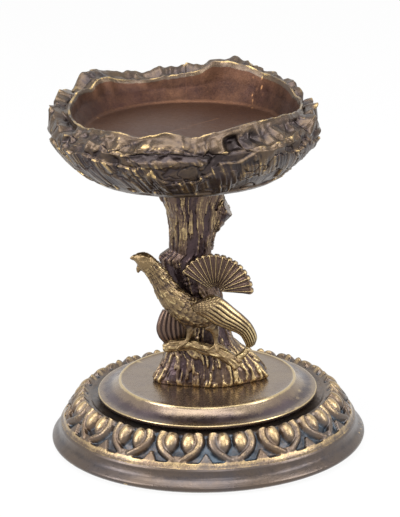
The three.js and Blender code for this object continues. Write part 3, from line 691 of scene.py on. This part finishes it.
rim_keys = np.array([
    [-180, 1.3, 3.2, 0], [-169, 0.6, 2.4, 0], [-156, 0.4, 2.5, 0.2], [-147, 1.2, 3.7, 0.2],
    [-137, 2.6, 4.6, 0.4], [-130, 3.4, 4.8, 0.8], [-123, 1.2, 0.8, 0.2], [-110, 1.8, 2.4, 0.5],
    [-90, 0, 1.2, 0.6], [-75, -0.8, -0.6, 0.3], [-58, -0.8, -0.6, 0.4], [-45, -0.4, 0.4, 0.8],
    [-33, 0, -0.8, 0], [-20, -0.6, -1.0, 0.2], [-9, 1.0, 0.2, 0.8], [3, -0.5, -0.8, 0.6],
    [12, 0.7, -0.9, 0], [35, 2.2, 0.2, 0.1], [58, 1.6, 0.6, 0.3], [74, 0.2, 0.2, 0.6],
    [88, 0.2, 1.0, -0.8], [104, 0.2, -0.6, -1.8], [110, 1.0, 0.4, -1.6], [119, 2.2, 2.0, -1.2],
    [138, 3.4, 3.6, -0.6], [150, 4.6, 4.8, -0.2], [166, 5.0, 5.1, 0], [173, 2.2, 4.2, 0],
    [180, 1.3, 3.2, 0]])


def rim_curves(angle):
    """Height of the inner and of the outer edge, and how far the wall stands out, at each angle."""
    half = 7
    kernel = np.hanning(2 * half + 1)
    kernel /= kernel.sum()
    curves = []
    for key in (1, 2, 3):
        curve = np.interp(angle, rim_keys[:, 0], rim_keys[:, key])
        curves.append(np.convolve(np.concatenate([curve[-half:], curve, curve[:half]]), kernel, "valid"))
    inner, outer, out = curves
    ripple = 0.35 * noise(angle * 0.16, 0, 0, 3) + 0.2 * noise(angle * 0.45, 0, 0, 4)
    return inner + ripple * 0.7, outer + ripple + 0.5 * noise(angle * 0.25, 5, 0, 6), out


def bowl_rows():
    """Rows from the middle of the dish over the rim to the boss under it, and how many line the dish.

    Each has its radius, height, share of the inner edge, share of the outer edge, roughness and brightness.
    """
    inside = [(0.01, dish_floor, 0, 0, 0, 0), (dish_floor_radius - 0.8, dish_floor, 0, 0, 0, 0),
              # The brightness on this row and the next is a painted highlight along the fillet at the foot
              # of the dish wall.
              (dish_floor_radius, dish_floor + 0.06, 0, 0, 0.02, 0.25),
              (dish_floor_radius + 0.5, dish_floor + 0.3, 0, 0, 0.05, 0.2),
              (dish_floor_radius + 0.9, dish_floor + 0.7, 0.05, 0, 0.1, -0.3),
              (dish_mouth_radius - 1.3, dish_floor + 3.2, 0.4, 0, 0.18, -0.35),
              (dish_mouth_radius - 0.35, rim_height - 0.5, 0.92, 0, 0.12, 0.05),
              (dish_mouth_radius, rim_height + 0.05, 1, 0, 0.06, 0.75),
              (dish_mouth_radius + 0.45, rim_height + 0.08, 1, 0, 0.06, 0.7),
              (dish_mouth_radius + 0.8, rim_height - 0.6, 0.9, 0.05, 0.35, 0),
              (dish_mouth_radius + 2.2, rim_height - 1.3, 0.5, 0.5, 0.8, -0.1),
              (bowl_radius - 1.9, rim_height - 0.9, 0.1, 0.9, 1, 0.1),
              (bowl_radius - 0.9, rim_height - 0.7, 0, 1, 1, 0.3),
              (bowl_radius - 0.35, rim_height - 1.5, 0, 0.85, 1, 0.1)]
    inside_counts = [22, 2, 3, 3, 12, 9, 4, 3, 4, 7, 7, 5, 5]
    lining = sum(inside_counts[:6]) - 1
    up = np.linspace(0.77, 0.02, 64)
    bulge = 1 - np.clip(1 - up / 0.8, 0, 1) ** 1.9
    wall = np.stack([bowl_bottom_radius + (bowl_radius - bowl_bottom_radius) * bulge,
                     bowl_bottom + up * bowl_height, 0 * up, 0.85 * up ** 3,
                     step(0.0, 0.12, up), 0 * up], -1)
    under = [(bowl_bottom_radius, bowl_bottom, 0, 0, 0.1, 0.2),
             (bowl_bottom_radius - bowl_bottom_wall, bowl_bottom, 0, 0, 0, 0.1),
             (bowl_underside_radius, dish_underside - 1.8, 0, 0, 0, 0),
             (bowl_underside_radius - 1.2, dish_underside, 0, 0, 0, 0),
             (bowl_boss_radius, dish_underside, 0, 0, 0, 0), (bowl_boss_radius, trunk_top, 0, 0, 0, 0),
             (0.01, trunk_top, 0, 0, 0, 0)]
    rows = [straight_path(inside, inside_counts), wall, straight_path(under, [3, 8, 2, 12, 3, 6])]
    return np.vstack(rows), lining


def patch(angle, level, at_angle, at_level, wide, tall):
    gap = (angle - at_angle + 180) % 360 - 180
    return np.exp(-(gap / wide) ** 2 - ((level - at_level) / tall) ** 2)


def front_of_bowl(angle, level):
    """The curled lip at the front and the hollow under it: their span, depth and wear."""
    lip_angle = -8
    lip_line = 0.86 + 0.05 * np.cos((angle - lip_angle) / 9.5)
    span = np.exp(-((angle - lip_angle) / 17) ** 6)
    curl = np.exp(-((level - lip_line) / 0.055) ** 2) * span
    hollow = np.exp(-((level - lip_line + 0.13) / 0.06) ** 2) * span
    cleft = patch(angle, level, 12, 0.62, 4.5, 0.2)
    cave = patch(angle, level, 9.5, 0.26, 6, 0.1)
    knobs = patch(angle, level, -31, 0.9, 3.0, 0.1) + patch(angle, level, -19, 0.95, 2.2, 0.07)
    knobs = knobs + patch(angle, level, 16, 0.9, 2.5, 0.12)
    bays = patch(angle, level, 21, 0.88, 3.5, 0.12) + patch(angle, level, -26, 0.97, 3, 0.08)
    depth = 1.3 * curl - 1.9 * hollow - 1.5 * cleft - 1.0 * cave + 0.9 * knobs - 1.2 * bays
    wear = 0.5 * curl - 0.8 * hollow - 0.6 * cleft - 0.4 * cave + 0.35 * knobs - 0.4 * bays
    return span, depth, wear


def make_bowl():
    angle = np.linspace(-180, 180, bowl_columns, endpoint=False)
    turn = np.radians(angle)[None, :]
    inner, outer, out = rim_curves(angle)
    rows, lining = bowl_rows()
    radius, height, on_inner, on_outer, rough, bright = (rows[:, k:k + 1] for k in range(6))

    # The ledge slopes outward at the front
    slant = step(80, 50, np.abs(angle))[None, :] * step(dish_mouth_radius + 0.6, bowl_radius - 0.9, radius)
    height = height - 2.2 * slant * (on_outer > 0.04) * (height > rim_height - 2)
    level = (height + on_outer * outer - bowl_bottom) / bowl_height
    outside = step(0.35, 0.8, rough) * np.ones_like(turn)

    # Plates of bark with cracks between them, finely striated, over a broken upper wall
    arc = turn * bark_arc_radius
    lean = arc + 0.35 * height
    field_x = np.maximum(radius, bark_core_radius) * np.sin(turn)
    field_y = -np.maximum(radius, bark_core_radius) * np.cos(turn)
    plates = layered(field_x * 0.11, field_y * 0.11, height * 0.17, 3, 21)
    lumps = layered(field_x * 0.26 + 3, field_y * 0.26, height * 0.28, 2, 31)
    facets = layered(arc * 0.16, height * 0.3, 4, 2, 81)
    warp = 0.9 * lumps
    cracks = noise(field_x * 0.13 + 9 + warp, field_y * 0.13 + warp, height * 0.16 + warp, 41)
    cracks = np.clip(1 - np.abs(cracks) * 8, 0, 1)
    upper = step(0.5, 0.78, level)
    striae = noise(lean * 1.9, height * 0.13, 1, 51) + 0.4 * noise(lean * 3.6, height * 0.25, 1, 52)
    striae = striae * step(-0.35, 0.05, plates) * (1 - 0.8 * upper) * step(0.03, 0.1, level)
    terrace = step(-0.1, 0.02, plates) - 0.5
    shape = 1.1 * terrace * (0.7 + 0.3 * upper) + (0.2 + 1.4 * upper) * lumps - 0.6 * cracks
    shape = shape + 0.2 * striae - 0.35
    lip_span, lip_depth, lip_wear = front_of_bowl(angle, level)
    shape = shape * (1 - 0.7 * lip_span * step(0.55, 0.7, level))

    amount = outside * (shape + lip_depth) + rough * (1 - outside) * (0.8 * lumps + 2.2 * facets)
    spread = radius + amount + np.clip(rough, 0, 1) * out[None, :]
    spread = np.minimum(spread, bowl_radius + bark_reach)
    on_ledge = step(0.3, 0.6, rough) * step(rim_height - 4.5, rim_height - 2.5, height)
    lift = on_inner * inner[None, :] + on_outer * outer[None, :] + lumps * on_ledge
    grid = turned(spread, height + lift, turn) + [bowl_x, 0, 0]

    # Worn on the rims of the plates, on the striae, along the bottom and, in places, on the inner edge
    rims = np.exp(-((plates + 0.03) / 0.05) ** 2)
    bottom = step(0.09, 0.03, level)
    worn_outside = 0.45 * rims - 0.1 + 0.45 * lumps - 0.5 * cracks + 0.75 * striae + lip_wear + 0.35 * bottom
    dulled = 0.5 * (bright > 0.3) * (0.5 + 0.8 * noise(arc * 0.35, 2, 0, 53))
    bowl = ring_surface("bowl_bark", grid, bright + outside * worn_outside - dulled)
    paint(bowl, dish_brass, bowl_brass, lining * bowl_columns)
    return bowl


# Bird

body_path = [(-18.0, -0.8, 25.3), (-15.9, -0.7, 24.2), (-13.2, -0.4, 21.2), (-11.2, 0, 17.8),
             (-9.4, 0, 14.6), (-7.2, 0, 12.0), (-4.4, 0, 9.9), (-1.0, 0, 8.9), (2.4, 0, 9.0),
             (5.0, 0.3, 10.2)]
body_heights = [1.0, 2.3, 2.4, 2.8, 3.3, 3.6, 3.8, 3.7, 3.1, 1.2]
body_widths = [0.25, 0.55, 0.55, 0.68, 0.88, 1, 1, 1, 0.8, 0.4]
front_leg = [(-4.9, -0.2, 7.4), (-4.2, -0.4, 4.9), (-4.8, -0.5, 2.6), (-5.6, -0.5, 1.3)]
rear_leg = [(1.2, -0.8, 6.2), (2.2, -1.0, 4.4), (2.4, -1.1, 2.2), (2.6, -1.2, 0.4)]
toes = [[(-5.4, -0.5, 1.5), (-7.6, -0.3, 1.35), (-9.9, 0.2, 1.0)],
        [(-5.4, -0.6, 1.4), (-6.9, -1.1, 0.6), (-8.0, -1.3, -0.4)],
        [(2.5, -1.2, 0.8), (1.2, -1.6, -0.1), (-0.4, -1.7, -0.7)],
        [(2.6, -1.3, 0.8), (2.7, -2.1, -0.5), (2.9, -2.3, -1.3)],
        [(2.6, -1.2, 0.8), (3.9, -1.7, 0.2), (5.4, -2.1, -0.6)]]


def make_bird():
    sizes = [(height, width * bird_half_width) for height, width in zip(body_heights, body_widths)]
    parts = [limb("torso", at_bird(body_path), sizes, 90, 48)]
    parts.append(limb("beak", at_bird([(-16.4, -0.8, 24.5), (-18.1, -0.9, 25.0), (-19.4, -1.0, 24.9)]),
                      [(1.5, 1.0), (0.95, 0.65), (0.25, 0.2)], 16, 20))
    parts.append(limb("beard", at_bird([(-15.6, -0.7, 23.4), (-17.0, -0.8, 22.1), (-17.5, -0.8, 20.9)]),
                      [(1.6, 1.0), (0.9, 0.6), (0.3, 0.25)], 16, 20))
    brow = at_bird([(-16.6, -1.75, 25.5), (-15.6, -2.2, 25.6), (-14.5, -2.1, 25.0)])
    parts.append(limb("brow", brow, [(0.25, 0.2), (0.38, 0.3), (0.2, 0.2)], 12, 12))
    for leg in (front_leg, rear_leg):
        parts.append(limb("leg", at_bird(leg), [(2.1, 1.7), (1.2, 1.1), (0.62, 0.62), (0.62, 0.62)], 24, 20))
    for toe in toes:
        parts.append(limb("toe", at_bird(toe), [(0.62, 0.62), (0.5, 0.5), (0.3, 0.3)], 16, 14))
    bird = fused("bird_feathers", parts, voxel=0.17, smoothing=3)

    # Rows of feathers along the body and columns round it, each row half a feather on from the last
    points, _ = points_of(bird)
    run, turn, _ = path_frame(points, at_bird(body_path))
    local_x, local_y, local_z = (points - np.array([0, bird_y, bird_base])).T
    on_leg = step(6.0, 4.4, local_z) * (local_x > -12)
    head = step(5.2, 3.2, run)
    size = neck_feather_size + feather_growth * step(6, 20, run)
    row = run / size
    column = turn * bird_half_width / size
    shift = (np.floor(row) % 2) * 0.5
    share = row - np.floor(row)
    across = (column + shift + 0.2 * noise(run * 0.7, turn * 2, 0, 61)) % 1 - 0.5
    edge = 1 - np.abs(across) ** 2 * 2.6
    scale = np.clip(share / np.clip(edge, 0.2, 1), 0, 1.25)
    tip = step(1.0, 1.12, scale)
    feather = scale * (1 - tip) * 0.9 - 0.4
    streak = noise(column * 3.5, row * 0.9, 2, 62)
    hackle = noise(turn * 5.5, run * 0.5, 4, 63)
    neck = step(3.0, 5.0, run) * step(13.5, 10.0, run)
    cover = (1 - head) * (1 - on_leg)
    amount = cover * (0.2 * feather * (1 - 0.6 * neck) + 0.09 * streak + 0.16 * neck * hackle)
    eye_gap = np.linalg.norm(points - at_bird(eye_place), axis=1)
    amount = amount - eye_socket_depth * np.exp(-(eye_gap / eye_socket_radius) ** 4)
    amount = amount + eye_height * np.exp(-(eye_gap / eye_radius) ** 4)
    amount = amount + 0.05 * noise(*(points.T * 2.5), 64)
    belly = step(9.0, 6.6, local_z) * (1 - on_leg)
    wear = cover * (0.7 * feather + 0.4 * streak + 0.45 * neck * hackle) - 0.25 * belly
    wear = wear - 0.5 * np.exp(-(eye_gap / 0.6) ** 2) + 0.1 * head + 0.12 * on_leg
    # Painted shade on the bird's far side, toward the trunk.
    wear = wear - 0.4 * step(0.8, 2.2, local_y)
    displace(bird, amount, wear, gold_brass)
    return bird


def make_fan():
    """Feathers round a hub, each with a raised rib, a groove on either side and a thin raised tip."""
    thickness = 0.62
    rib_height = 0.32
    groove_depth = 0.16
    hollow_depth = 0.12
    tip_lift = 0.72
    tip_drop = 0.5
    back_lift = -0.4
    back_hollow = 0.25
    back_rib = 0.16
    hub = at_bird(fan_hub)
    right = np.array([math.cos(fan_turn), -math.sin(fan_turn), 0])
    front = np.array([-math.sin(fan_turn), -math.cos(fan_turn), 0])
    up = np.array([0, 0, 1])
    share = np.linspace(0, 1, fan_feathers * 14 + 1)
    angle = np.radians(fan_first_angle + (fan_last_angle - fan_first_angle) * share)
    phase = share * fan_feathers
    in_feather = np.abs((phase % 1) - 0.5) * 2
    tip = fan_radius * (1.012 - 0.055 * in_feather ** 3)
    rib = np.exp(-(in_feather / 0.2) ** 2)
    side = np.exp(-((1 - in_feather) / 0.14) ** 2)
    radial = np.concatenate([np.linspace(0.13, 0.9, 34), np.linspace(0.915, 1, 8)])
    near = []
    near_wear = []
    for r in radial:
        rim = step(0.93, 0.975, r)
        drop = step(0.975, 1.0, r)
        hub_wear = 0.1 * (1 - step(0.2, 0.45, r))
        lift = thickness + rib_height * rib * step(0.15, 0.3, r) * (1 - 0.5 * rim)
        lift = lift - groove_depth * side - hollow_depth * (1 - rib)
        lift = lift * (1 - rim) + tip_lift * rim - tip_drop * drop
        near.append((r * tip, lift))
        near_wear.append(0.75 * rib - 0.28 * (1 - rib) + 0.6 * rim - 0.15 * side + hub_wear)
    far = [(r * tip, back_lift - back_hollow * (r < 0.97) + back_rib * rib) for r in radial[::-2]]
    far_wear = [0.5 * rib - 0.3] * len(far)
    rows = near + far
    wear = np.array(near_wear + far_wear).T
    spokes = right * np.cos(angle)[:, None] + up * np.sin(angle)[:, None]
    grid = np.zeros((len(share), len(rows), 3))
    for k, (radius, lift) in enumerate(rows):
        grid[:, k] = hub + spokes * radius[:, None] + front * lift[:, None]
    fan = ring_surface("tail_feathers", grid, wear, caps=True)
    fan.data.materials.append(feather_brass)
    return fan


near_wing_stations = [((0.6, 15.2), (-3.8, 12.4), -3.2), ((2.6, 15.2), (-2.6, 10.6), -3.7),
                      ((4.9, 13.9), (-0.2, 9.2), -4.0), ((7.4, 11.6), (2.6, 7.2), -3.9),
                      ((9.8, 9.3), (6.0, 5.6), -3.5), ((11.9, 6.6), (8.6, 4.0), -2.7),
                      ((13.2, 3.2), (9.9, 1.6), -1.9), ((12.7, 0.9), (10.3, 0.2), -1.5)]
far_wing_stations = [((-11.4, 9.4), (-6.2, 10.4), 2.6), ((-12.4, 7.4), (-5.6, 8.2), 2.2),
                     ((-13.1, 4.6), (-5.4, 5.4), 2.0), ((-12.5, 2.2), (-5.4, 3.2), 2.1),
                     ((-11.3, 0.6), (-5.6, 2.0), 2.3)]


def wing(name, stations, steps, thickness, bow, shoulder, shine_width, material):
    """Bowed wing between an upper and a lower edge: scales on the shoulder, long feathers beyond it.

    Each station has the upper and the lower edge as (x, z), and their y.
    """
    feathers = 6
    groove = 0.26
    scale_rows = 28
    front = np.array([0, -1, 0])
    upper = smooth_path([at_bird((high[0], y, high[1])) for high, _, y in stations], steps)
    lower = smooth_path([at_bird((low[0], y, low[1])) for _, low, y in stations], steps)
    share = np.linspace(0, 1, feathers * 12 + 1)
    back_share = share[::-4]
    arch = np.sin(math.pi * share)
    phase = share * feathers
    line = np.exp(-((np.abs(phase - np.round(phase))) / 0.13) ** 2)
    crown = np.cos((phase % 1 - 0.5) * math.pi)
    crest = crown ** shine_width
    rows = []
    wears = []
    for s in range(steps):
        t = s / (steps - 1)
        taper = 1 - 0.45 * t
        feathered = step(shoulder * 0.6, shoulder, t)
        barbs = 0.5 + 0.5 * math.cos(t * 240)
        scale = t * scale_rows
        scallop = np.cos(phase * math.pi + (int(scale) % 2) * math.pi / 2) ** 2 * (scale % 1)
        relief = feathered * (groove * (crown * 0.8 - line)) + (1 - feathered) * groove * scallop * 0.9
        lift = thickness * 0.25 + (thickness * 0.35 + bow * taper) * arch + relief * arch ** 0.4
        back_lift = bow * taper * 0.6 * np.sin(math.pi * back_share) - thickness * 0.3
        near = upper[s] + (lower[s] - upper[s]) * share[:, None] + front * lift[:, None]
        back = upper[s] + (lower[s] - upper[s]) * back_share[:, None] + front * back_lift[:, None]
        rows.append(np.vstack([near, back]))
        shine = feathered * (0.6 * crest - 0.12 * shine_width - 0.8 * line + 0.06 * barbs)
        shine = shine + (1 - feathered) * (0.6 * scallop - 0.1)
        wears.append(np.concatenate([shine, np.full(len(back_share), -0.4)]))
    piece = ring_surface(name, np.array(rows), np.array(wears), caps=True)
    piece.data.materials.append(material)
    return piece


perch_path = [(-11.2, 1.9, -0.6), (-9.0, 1.2, -0.2), (-6.2, 0.5, 0.5), (-3.2, -0.1, 0.3),
              (0.2, -0.6, -0.7), (3.4, -1.0, -1.4), (6.0, -1.6, -2.9), (8.4, -2.4, -5.0)]
perch_girth = [0.75, 1.0, 0.9, 0.85, 0.95, 1.1, 1.1, 1.12]


def make_perch():
    sizes = [(girth * perch_radius, girth * perch_radius) for girth in perch_girth]
    branch = limb("branch", at_bird(perch_path), sizes, 70, 36)
    twig = limb("twig", at_bird([(6.8, -1.8, -3.6), (9.2, -1.6, -2.2), (10.9, -1.2, -0.6)]),
                [(1.1, 1.1), (0.85, 0.85), (0.68, 0.68)], 20, 20)
    perch = fused("perch_bark", [branch, twig], voxel=0.17, smoothing=2)
    points, normals = points_of(perch)
    run, turn, gap = path_frame(points, at_bird(perch_path))
    keys = at_bird(perch_path)
    end = unit(keys[-1] - keys[-2])
    sawn = step(0.75, 0.95, normals @ end) * (run > 19)
    bark = noise(turn * 2.6, run * 0.35, 0, 71)
    fine = noise(turn * 6, run * 0.9, 3, 72)
    knots = layered(*(points.T * 0.5), 2, 73)
    rings = np.cos(gap * 9)
    amount = (0.2 * bark + 0.1 * fine + 0.28 * knots) * (1 - sawn) + 0.05 * rings * sawn
    wear = (0.4 * bark + 0.25 * fine + 0.15) * (1 - sawn) + (0.3 * rings - 0.15) * sawn
    displace(perch, amount, wear, gold_brass)
    return perch


def dress(piece, node):
    """Puts the piece in the place of the node's plain solid."""
    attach(piece, "root")
    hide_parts(node)


dress(make_foot(), "foot_ring")
dress(make_plate(), "base_plate")
dress(make_trunk(), "trunk")
dress(make_bowl(), "bowl")
dress(make_bird(), "bird_body")
dress(make_fan(), "tail_fan")
dress(wing("near_wing_feathers", near_wing_stations, steps=150, thickness=1.7, bow=1.2, shoulder=0.28,
           shine_width=1, material=gold_brass), "near_wing")
dress(wing("far_wing_feathers", far_wing_stations, steps=80, thickness=1.36, bow=0.8, shoulder=0.02,
           shine_width=4, material=feather_brass), "far_wing")
dress(make_perch(), "perch_branch")

for node, finish in (("stem_stud", steel), ("stem_washer", steel), ("stem_nut", steel), ("bowl_stud", steel),
                     ("perch_pin_left", pin_brass), ("perch_pin_right", pin_brass), ("bird_pin", pin_brass)):
    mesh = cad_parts[node].data
    mesh.materials.clear()
    mesh.materials.append(finish)


# Floor, light and camera

floor_reach = 1500
floor_colour = (0.85, 0.85, 0.86, 1)
floor_roughness = 0.9
floor_glow = 0.93
ambient = 0.45
camera_place = (-1.2566, -673, 265)
camera_pitch = math.radians(17.7045)
camera_roll = math.radians(1.2)
camera_lens = 187.03
camera_sensor = 36


def make_floor():
    corners = [(x * floor_reach, y * floor_reach, 0) for x, y in ((-1, -1), (1, -1), (1, 1), (-1, 1))]
    floor = make_object("floor", corners, [(0, 1, 2, 3)])
    s = Shader("floor")
    s.bsdf.inputs["Base Color"].default_value = floor_colour
    s.bsdf.inputs["Roughness"].default_value = floor_roughness
    glow =s.add("ShaderNodeEmission")
    blend = s.add("ShaderNodeMixShader")
    s.link(s.math("MULTIPLY", s.seen_directly(), floor_glow), blend.inputs[0])
    s.link(s.bsdf.outputs[0], blend.inputs[1])
    s.link(glow.outputs[0], blend.inputs[2])
    s.link(blend.outputs[0], s.tree.nodes["Material Output"].inputs["Surface"])
    floor.data.materials.append(s.material)


def make_world():
    world = bpy.data.worlds.new("studio")
    bpy.context.scene.world = world
    world.use_nodes = True
    s = Nodes(world.node_tree)
    background = s.tree.nodes["Background"]
    background.inputs["Color"].default_value = (1, 1, 1, 1)
    strength = s.add("ShaderNodeMapRange")
    strength.inputs["To Min"].default_value = ambient
    strength.inputs["To Max"].default_value = 1.0
    s.link(s.seen_directly(), strength.inputs["Value"])
    s.link(strength.outputs[0], background.inputs["Strength"])


def make_lamp(name, place, target, size, power):
    lamp = bpy.data.lights.new(name, "AREA")
    lamp.shape = "RECTANGLE"
    lamp.size, lamp.size_y = (side * MM for side in size)
    lamp.energy = power
    piece = bpy.data.objects.new(name, lamp)
    piece.location = Vector(place) * MM
    toward = (Vector(target) - Vector(place)).normalized()
    piece.rotation_euler = toward.to_track_quat("-Z", "Y").to_euler()
    bpy.context.scene.collection.objects.link(piece)


def make_camera():
    forward = Vector((0, math.cos(camera_pitch), -math.sin(camera_pitch)))
    level_up = Vector((0, math.sin(camera_pitch), math.cos(camera_pitch)))
    level_right = Vector((1, 0, 0))
    right = level_right * math.cos(camera_roll) - level_up * math.sin(camera_roll)
    up = level_up * math.cos(camera_roll) + level_right * math.sin(camera_roll)
    facing = Matrix((right, up, -forward)).transposed().to_4x4()
    camera = bpy.data.cameras.new("camera")
    camera.lens = camera_lens
    camera.sensor_width = camera_sensor
    camera.clip_start = 0.01
    piece = bpy.data.objects.new("camera", camera)
    piece.matrix_world = Matrix.Translation(Vector(camera_place) * MM) @ facing
    bpy.context.scene.collection.objects.link(piece)
    bpy.context.scene.camera = piece


make_floor()
make_world()
make_lamp("top", (-60, -60, 620), (0, 0, 40), (520, 520), 3.4)
make_lamp("left", (-520, -260, 300), (0, 0, 45), (320, 420), 2.6)
make_lamp("right", (520, -200, 340), (0, 0, 45), (260, 420), 2.0)
make_lamp("front", (60, -620, 420), (0, 0, 40), (300, 240), 1.0)
make_camera()
bpy.context.scene.view_settings.view_transform = "Standard"
